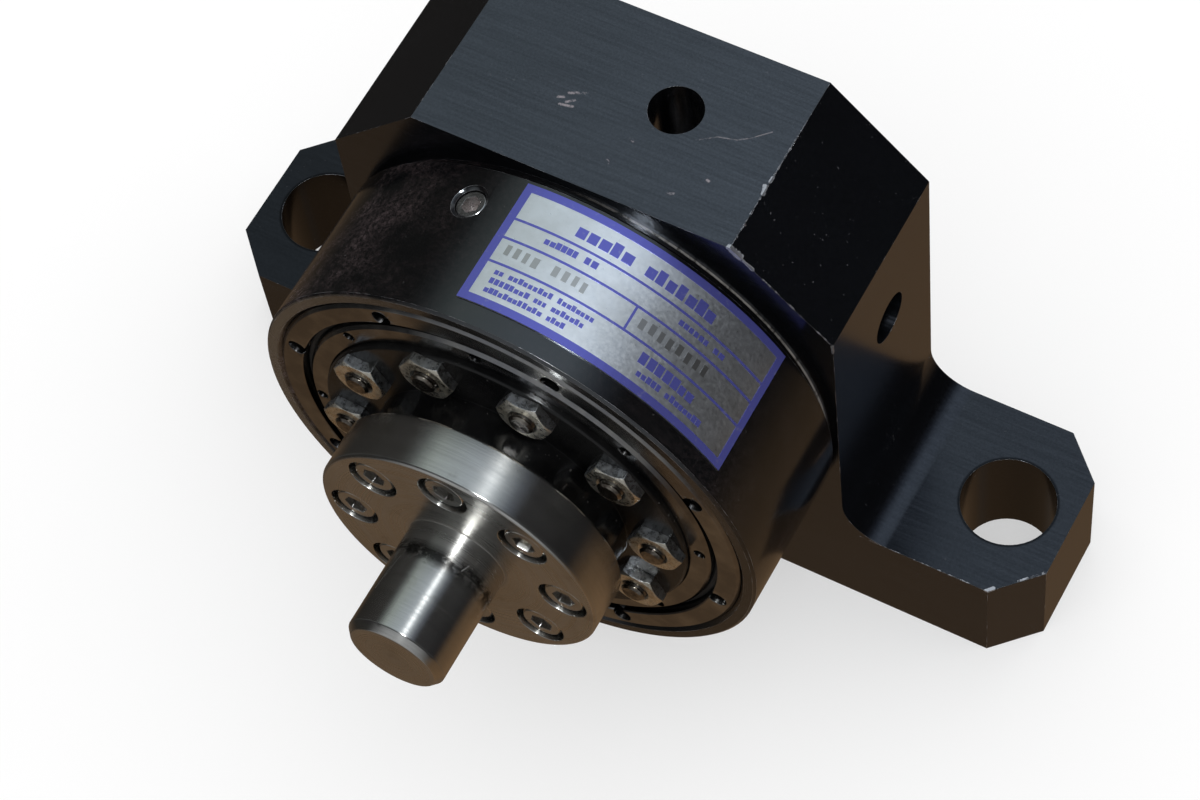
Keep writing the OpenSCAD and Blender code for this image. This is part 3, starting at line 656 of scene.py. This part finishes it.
border = 1.5 * MM
border_deg = border * DEG_PER_M
inner_left = PLATE_LEFT - border_deg
inner_right = PLATE_RIGHT + border_deg
row_1 = PLATE_BACK + 7.0 * MM
row_2 = PLATE_BACK + 11.0 * MM
row_3 = PLATE_BACK + 16.0 * MM
line_w = 0.45 * MM
divider = (PLATE_LEFT + PLATE_RIGHT) / 2 + 0.4
divider_half = 0.22 * MM * DEG_PER_M
printed("nameplate_border", PRINT_BLUE, [
    (PLATE_LEFT, PLATE_RIGHT, PLATE_BACK, PLATE_BACK + border),
    (PLATE_LEFT, PLATE_RIGHT, PLATE_FRONT - border, PLATE_FRONT),
    (PLATE_LEFT, inner_left, PLATE_BACK + border, PLATE_FRONT - border),
    (inner_right, PLATE_RIGHT, PLATE_BACK + border, PLATE_FRONT - border)])
printed("nameplate_rules", PRINT_BLUE, [
    (inner_left, inner_right, row_1, row_1 + line_w),
    (inner_left, inner_right, row_2, row_2 + line_w),
    (inner_left, inner_right, row_3, row_3 + line_w),
    (divider + divider_half, divider - divider_half, row_2 + line_w, row_3)])
heading = words(PLATE_LEFT - 14.0, PLATE_BACK + 3.2 * MM, 2.6 * MM, [11.0 * MM, 14.5 * MM], 2.4 * MM)
captions = words(PLATE_LEFT - 9.5, row_1 + 1.25 * MM, 1.3 * MM, [6.4 * MM, 2.6 * MM], 1.2 * MM)
captions += words(PLATE_LEFT - 40.0, row_1 + 1.25 * MM, 1.3 * MM, [6.6 * MM, 2.6 * MM], 1.2 * MM)
small = []
for line, lengths in enumerate(([1.8, 8.4, 7.0], [7.6, 2.4, 6.2], [11.0, 3.4])):
    start = row_3 + (1.25 + 1.85 * line) * MM
    small += words(PLATE_LEFT - 4.2, start, 1.1 * MM, [x * MM for x in lengths], 0.9 * MM)
mark = words(PLATE_LEFT - 37.0, row_3 + 1.5 * MM, 2.1 * MM, [12.0 * MM], 0.0)
mark += words(PLATE_LEFT - 38.0, row_3 + 4.6 * MM, 1.2 * MM, [5.2 * MM, 8.4 * MM], 1.0 * MM)
printed("nameplate_bars", PRINT_BLUE, heading + captions + small + mark)
digits = random.Random(4)
stamped = []
for start, count in ((PLATE_LEFT - 3.6, 4), (PLATE_LEFT - 14.0, 4), (PLATE_LEFT - 33.5, 8)):
    a = start
    for _ in range(count):
        wide = digits.uniform(0.9, 1.3) * MM
        lift = digits.uniform(-0.15, 0.25) * MM
        stamped.append((a, a - wide * DEG_PER_M * 0.9, row_2 + 1.4 * MM + lift, row_2 + 3.4 * MM + lift))
        a -= (wide + 0.75 * MM) * DEG_PER_M
printed("nameplate_stamped_marks", PRINT_DARK, stamped)


# ---------- floor, world, lights and camera ----------

BENCH = (0.135, 0.087, 0.049)
TABLE = (0.190, 0.118, 0.064)
DIM = (0.026, 0.025, 0.023)
DARK = (0.013, 0.013, 0.014)
SLATE = (0.110, 0.128, 0.160)
WINDOW = (0.500, 0.575, 0.640)
CEILING = (0.400, 0.460, 0.450)
GREY = (0.085, 0.094, 0.094)

# What the metal mirrors, by direction round the shaft axis: (degrees from +X towards +Z, colour)
SURROUNDINGS = (
    (-180, DIM), (-155, DIM), (-112, BENCH), (-70, TABLE), (-28, BENCH), (-6, DARK), (46, DARK), (56, SLATE),
    (72, WINDOW), (90, WINDOW), (122, CEILING), (137, GREY), (146, DIM), (180, DIM))


def surroundings(g, direction):
    """The dim room as colours for a direction: a brown bench below, dark sides, a pale ceiling above.

    Grey panels towards both ends of the shaft axis, and faintly between, let the back and sides show shape.
    """
    split = g.add("ShaderNodeSeparateXYZ")
    g.put(direction, split.inputs[0])
    turn = g.math("ARCTAN2", split.outputs["Z"], split.outputs["X"])
    fac = g.ramp(turn, -math.pi, math.pi)
    ramp = g.add("ShaderNodeValToRGB")
    elements = ramp.color_ramp.elements
    elements.remove(elements[1])
    for i, (degrees, color) in enumerate(SURROUNDINGS):
        place = (degrees + 180.0) / 360.0
        stop = elements[0] if i == 0 else elements.new(place)
        stop.position = place
        stop.color = (*color, 1.0)
    g.put(fac, ramp.inputs[0])
    upper_front = g.math("MULTIPLY", g.ramp(split.outputs["Y"], -0.25, 0.20, 0.9, 0.0),
                         g.ramp(split.outputs["Z"], -0.1, 0.2))
    room = g.mix(upper_front, ramp.outputs["Color"], DARK)
    panels = g.mix(g.ramp(split.outputs["Z"], -0.6, 0.5), (0.13, 0.12, 0.11), (0.46, 0.48, 0.50))
    ends = g.ramp(g.math("ABSOLUTE", split.outputs["Y"]), 0.66, 0.84)
    waist = g.ramp(g.math("ABSOLUTE", split.outputs["Y"]), 0.04, 0.14, 0.30, 0.0)
    return g.mix(g.math("MAXIMUM", ends, waist), room, panels)


def floor():
    """Pale floor, which mirrors in the metal as a brown bench."""
    bpy.ops.mesh.primitive_plane_add(size=6.0, location=(0.0, 0.0, block_lo.z - 0.02 * MM))
    plane = bpy.context.object
    plane.name = "floor"
    g = Graph("floor_pale")
    path = g.add("ShaderNodeLightPath")
    pale = g.add("ShaderNodeBsdfDiffuse")
    pale.inputs["Color"].default_value = (0.93, 0.93, 0.93, 1.0)
    incoming = g.add("ShaderNodeVectorMath", operation="SCALE")
    g.put(g.add("ShaderNodeNewGeometry").outputs["Incoming"], incoming.inputs[0])
    incoming.inputs["Scale"].default_value = -1.0
    bench = g.add("ShaderNodeEmission")
    g.put(surroundings(g, incoming.outputs[0]), bench.inputs["Color"])
    glow = g.add("ShaderNodeEmission")
    glow.inputs["Color"].default_value = (1.0, 1.0, 1.0, 1.0)
    bright = g.add("ShaderNodeMixShader")
    g.put(g.math("MULTIPLY", path.outputs["Is Camera Ray"], 0.5), bright.inputs[0])
    g.put(pale.outputs[0], bright.inputs[1])
    g.put(glow.outputs[0], bright.inputs[2])
    mix = g.add("ShaderNodeMixShader")
    g.put(path.outputs["Is Glossy Ray"], mix.inputs[0])
    g.put(bright.outputs[0], mix.inputs[1])
    g.put(bench.outputs[0], mix.inputs[2])
    output = g.add("ShaderNodeOutputMaterial")
    g.put(mix.outputs[0], output.inputs["Surface"])
    plane.data.materials.append(g.material)


def world():
    """White to the camera, even light on matte surfaces, and the dim room in reflections."""
    studio = bpy.data.worlds.new("studio")
    bpy.context.scene.world = studio
    studio.use_nodes = True
    studio.node_tree.nodes.clear()
    g = Graph.on(studio.node_tree)
    path = g.add("ShaderNodeLightPath")
    reflected = g.add("ShaderNodeBackground")
    direction = g.add("ShaderNodeTexCoord").outputs["Generated"]
    g.put(surroundings(g, direction), reflected.inputs["Color"])
    soft = g.add("ShaderNodeBackground")
    soft.inputs["Color"].default_value = (1.0, 1.0, 1.0, 1.0)
    soft.inputs["Strength"].default_value = 1.15
    mix = g.add("ShaderNodeMixShader")
    g.put(path.outputs["Is Glossy Ray"], mix.inputs[0])
    g.put(soft.outputs[0], mix.inputs[1])
    g.put(reflected.outputs[0], mix.inputs[2])
    output = g.add("ShaderNodeOutputWorld")
    g.put(mix.outputs[0], output.inputs["Surface"])


def flash(place, aim, size_x, size_y, power):
    """A small lamp near the camera that only shows in glossy surfaces."""
    data = bpy.data.lights.new("flash", "AREA")
    data.shape = "RECTANGLE"
    data.size = size_x
    data.size_y = size_y
    data.energy = power
    data.color = (0.93, 0.97, 1.0)
    lamp = bpy.data.objects.new("flash", data)
    lamp.matrix_world = Matrix.Translation(place) @ (place - aim).to_track_quat("Z", "Y").to_matrix().to_4x4()
    lamp.visible_diffuse = False
    bpy.context.scene.collection.objects.link(lamp)


def camera(azimuth, elevation, distance, roll, aim, lens):
    """A camera looking at aim from an azimuth (0 looks along +Y) and an elevation, rolled about its axis."""
    az = math.radians(azimuth)
    el = math.radians(elevation)
    tilt = math.radians(roll)
    back = Vector((math.sin(az) * math.cos(el), -math.cos(az) * math.cos(el), math.sin(el)))
    level = Vector((math.cos(az), math.sin(az), 0.0))
    upright = back.cross(level)
    right = level * math.cos(tilt) + upright * math.sin(tilt)
    up = back.cross(right)
    data = bpy.data.cameras.new("camera")
    data.lens = lens
    data.sensor_width = 36.0
    data.clip_start = 0.01
    eye = bpy.data.objects.new("camera", data)
    turn = Matrix((right, up, back)).transposed()
    eye.matrix_world = Matrix.Translation(aim + back * distance) @ turn.to_4x4()
    bpy.context.scene.collection.objects.link(eye)
    bpy.context.scene.camera = eye


floor()
world()
middle = Vector((AXIS_X, BLOCK_FRONT, AXIS_Z))
flash_place = middle + Vector((151.0, -163.5, 606.0)) * MM
flash(flash_place, middle, size_x=70.0 * MM, size_y=45.0 * MM, power=2.6)
camera_aim = middle + Vector((5.5, -8.8, -6.3)) * MM
camera(azimuth=37.25, elevation=59.58, distance=634.3 * MM, roll=-9.9, aim=camera_aim, lens=105.2)
bpy.context.scene.view_settings.view_transform = "Standard"
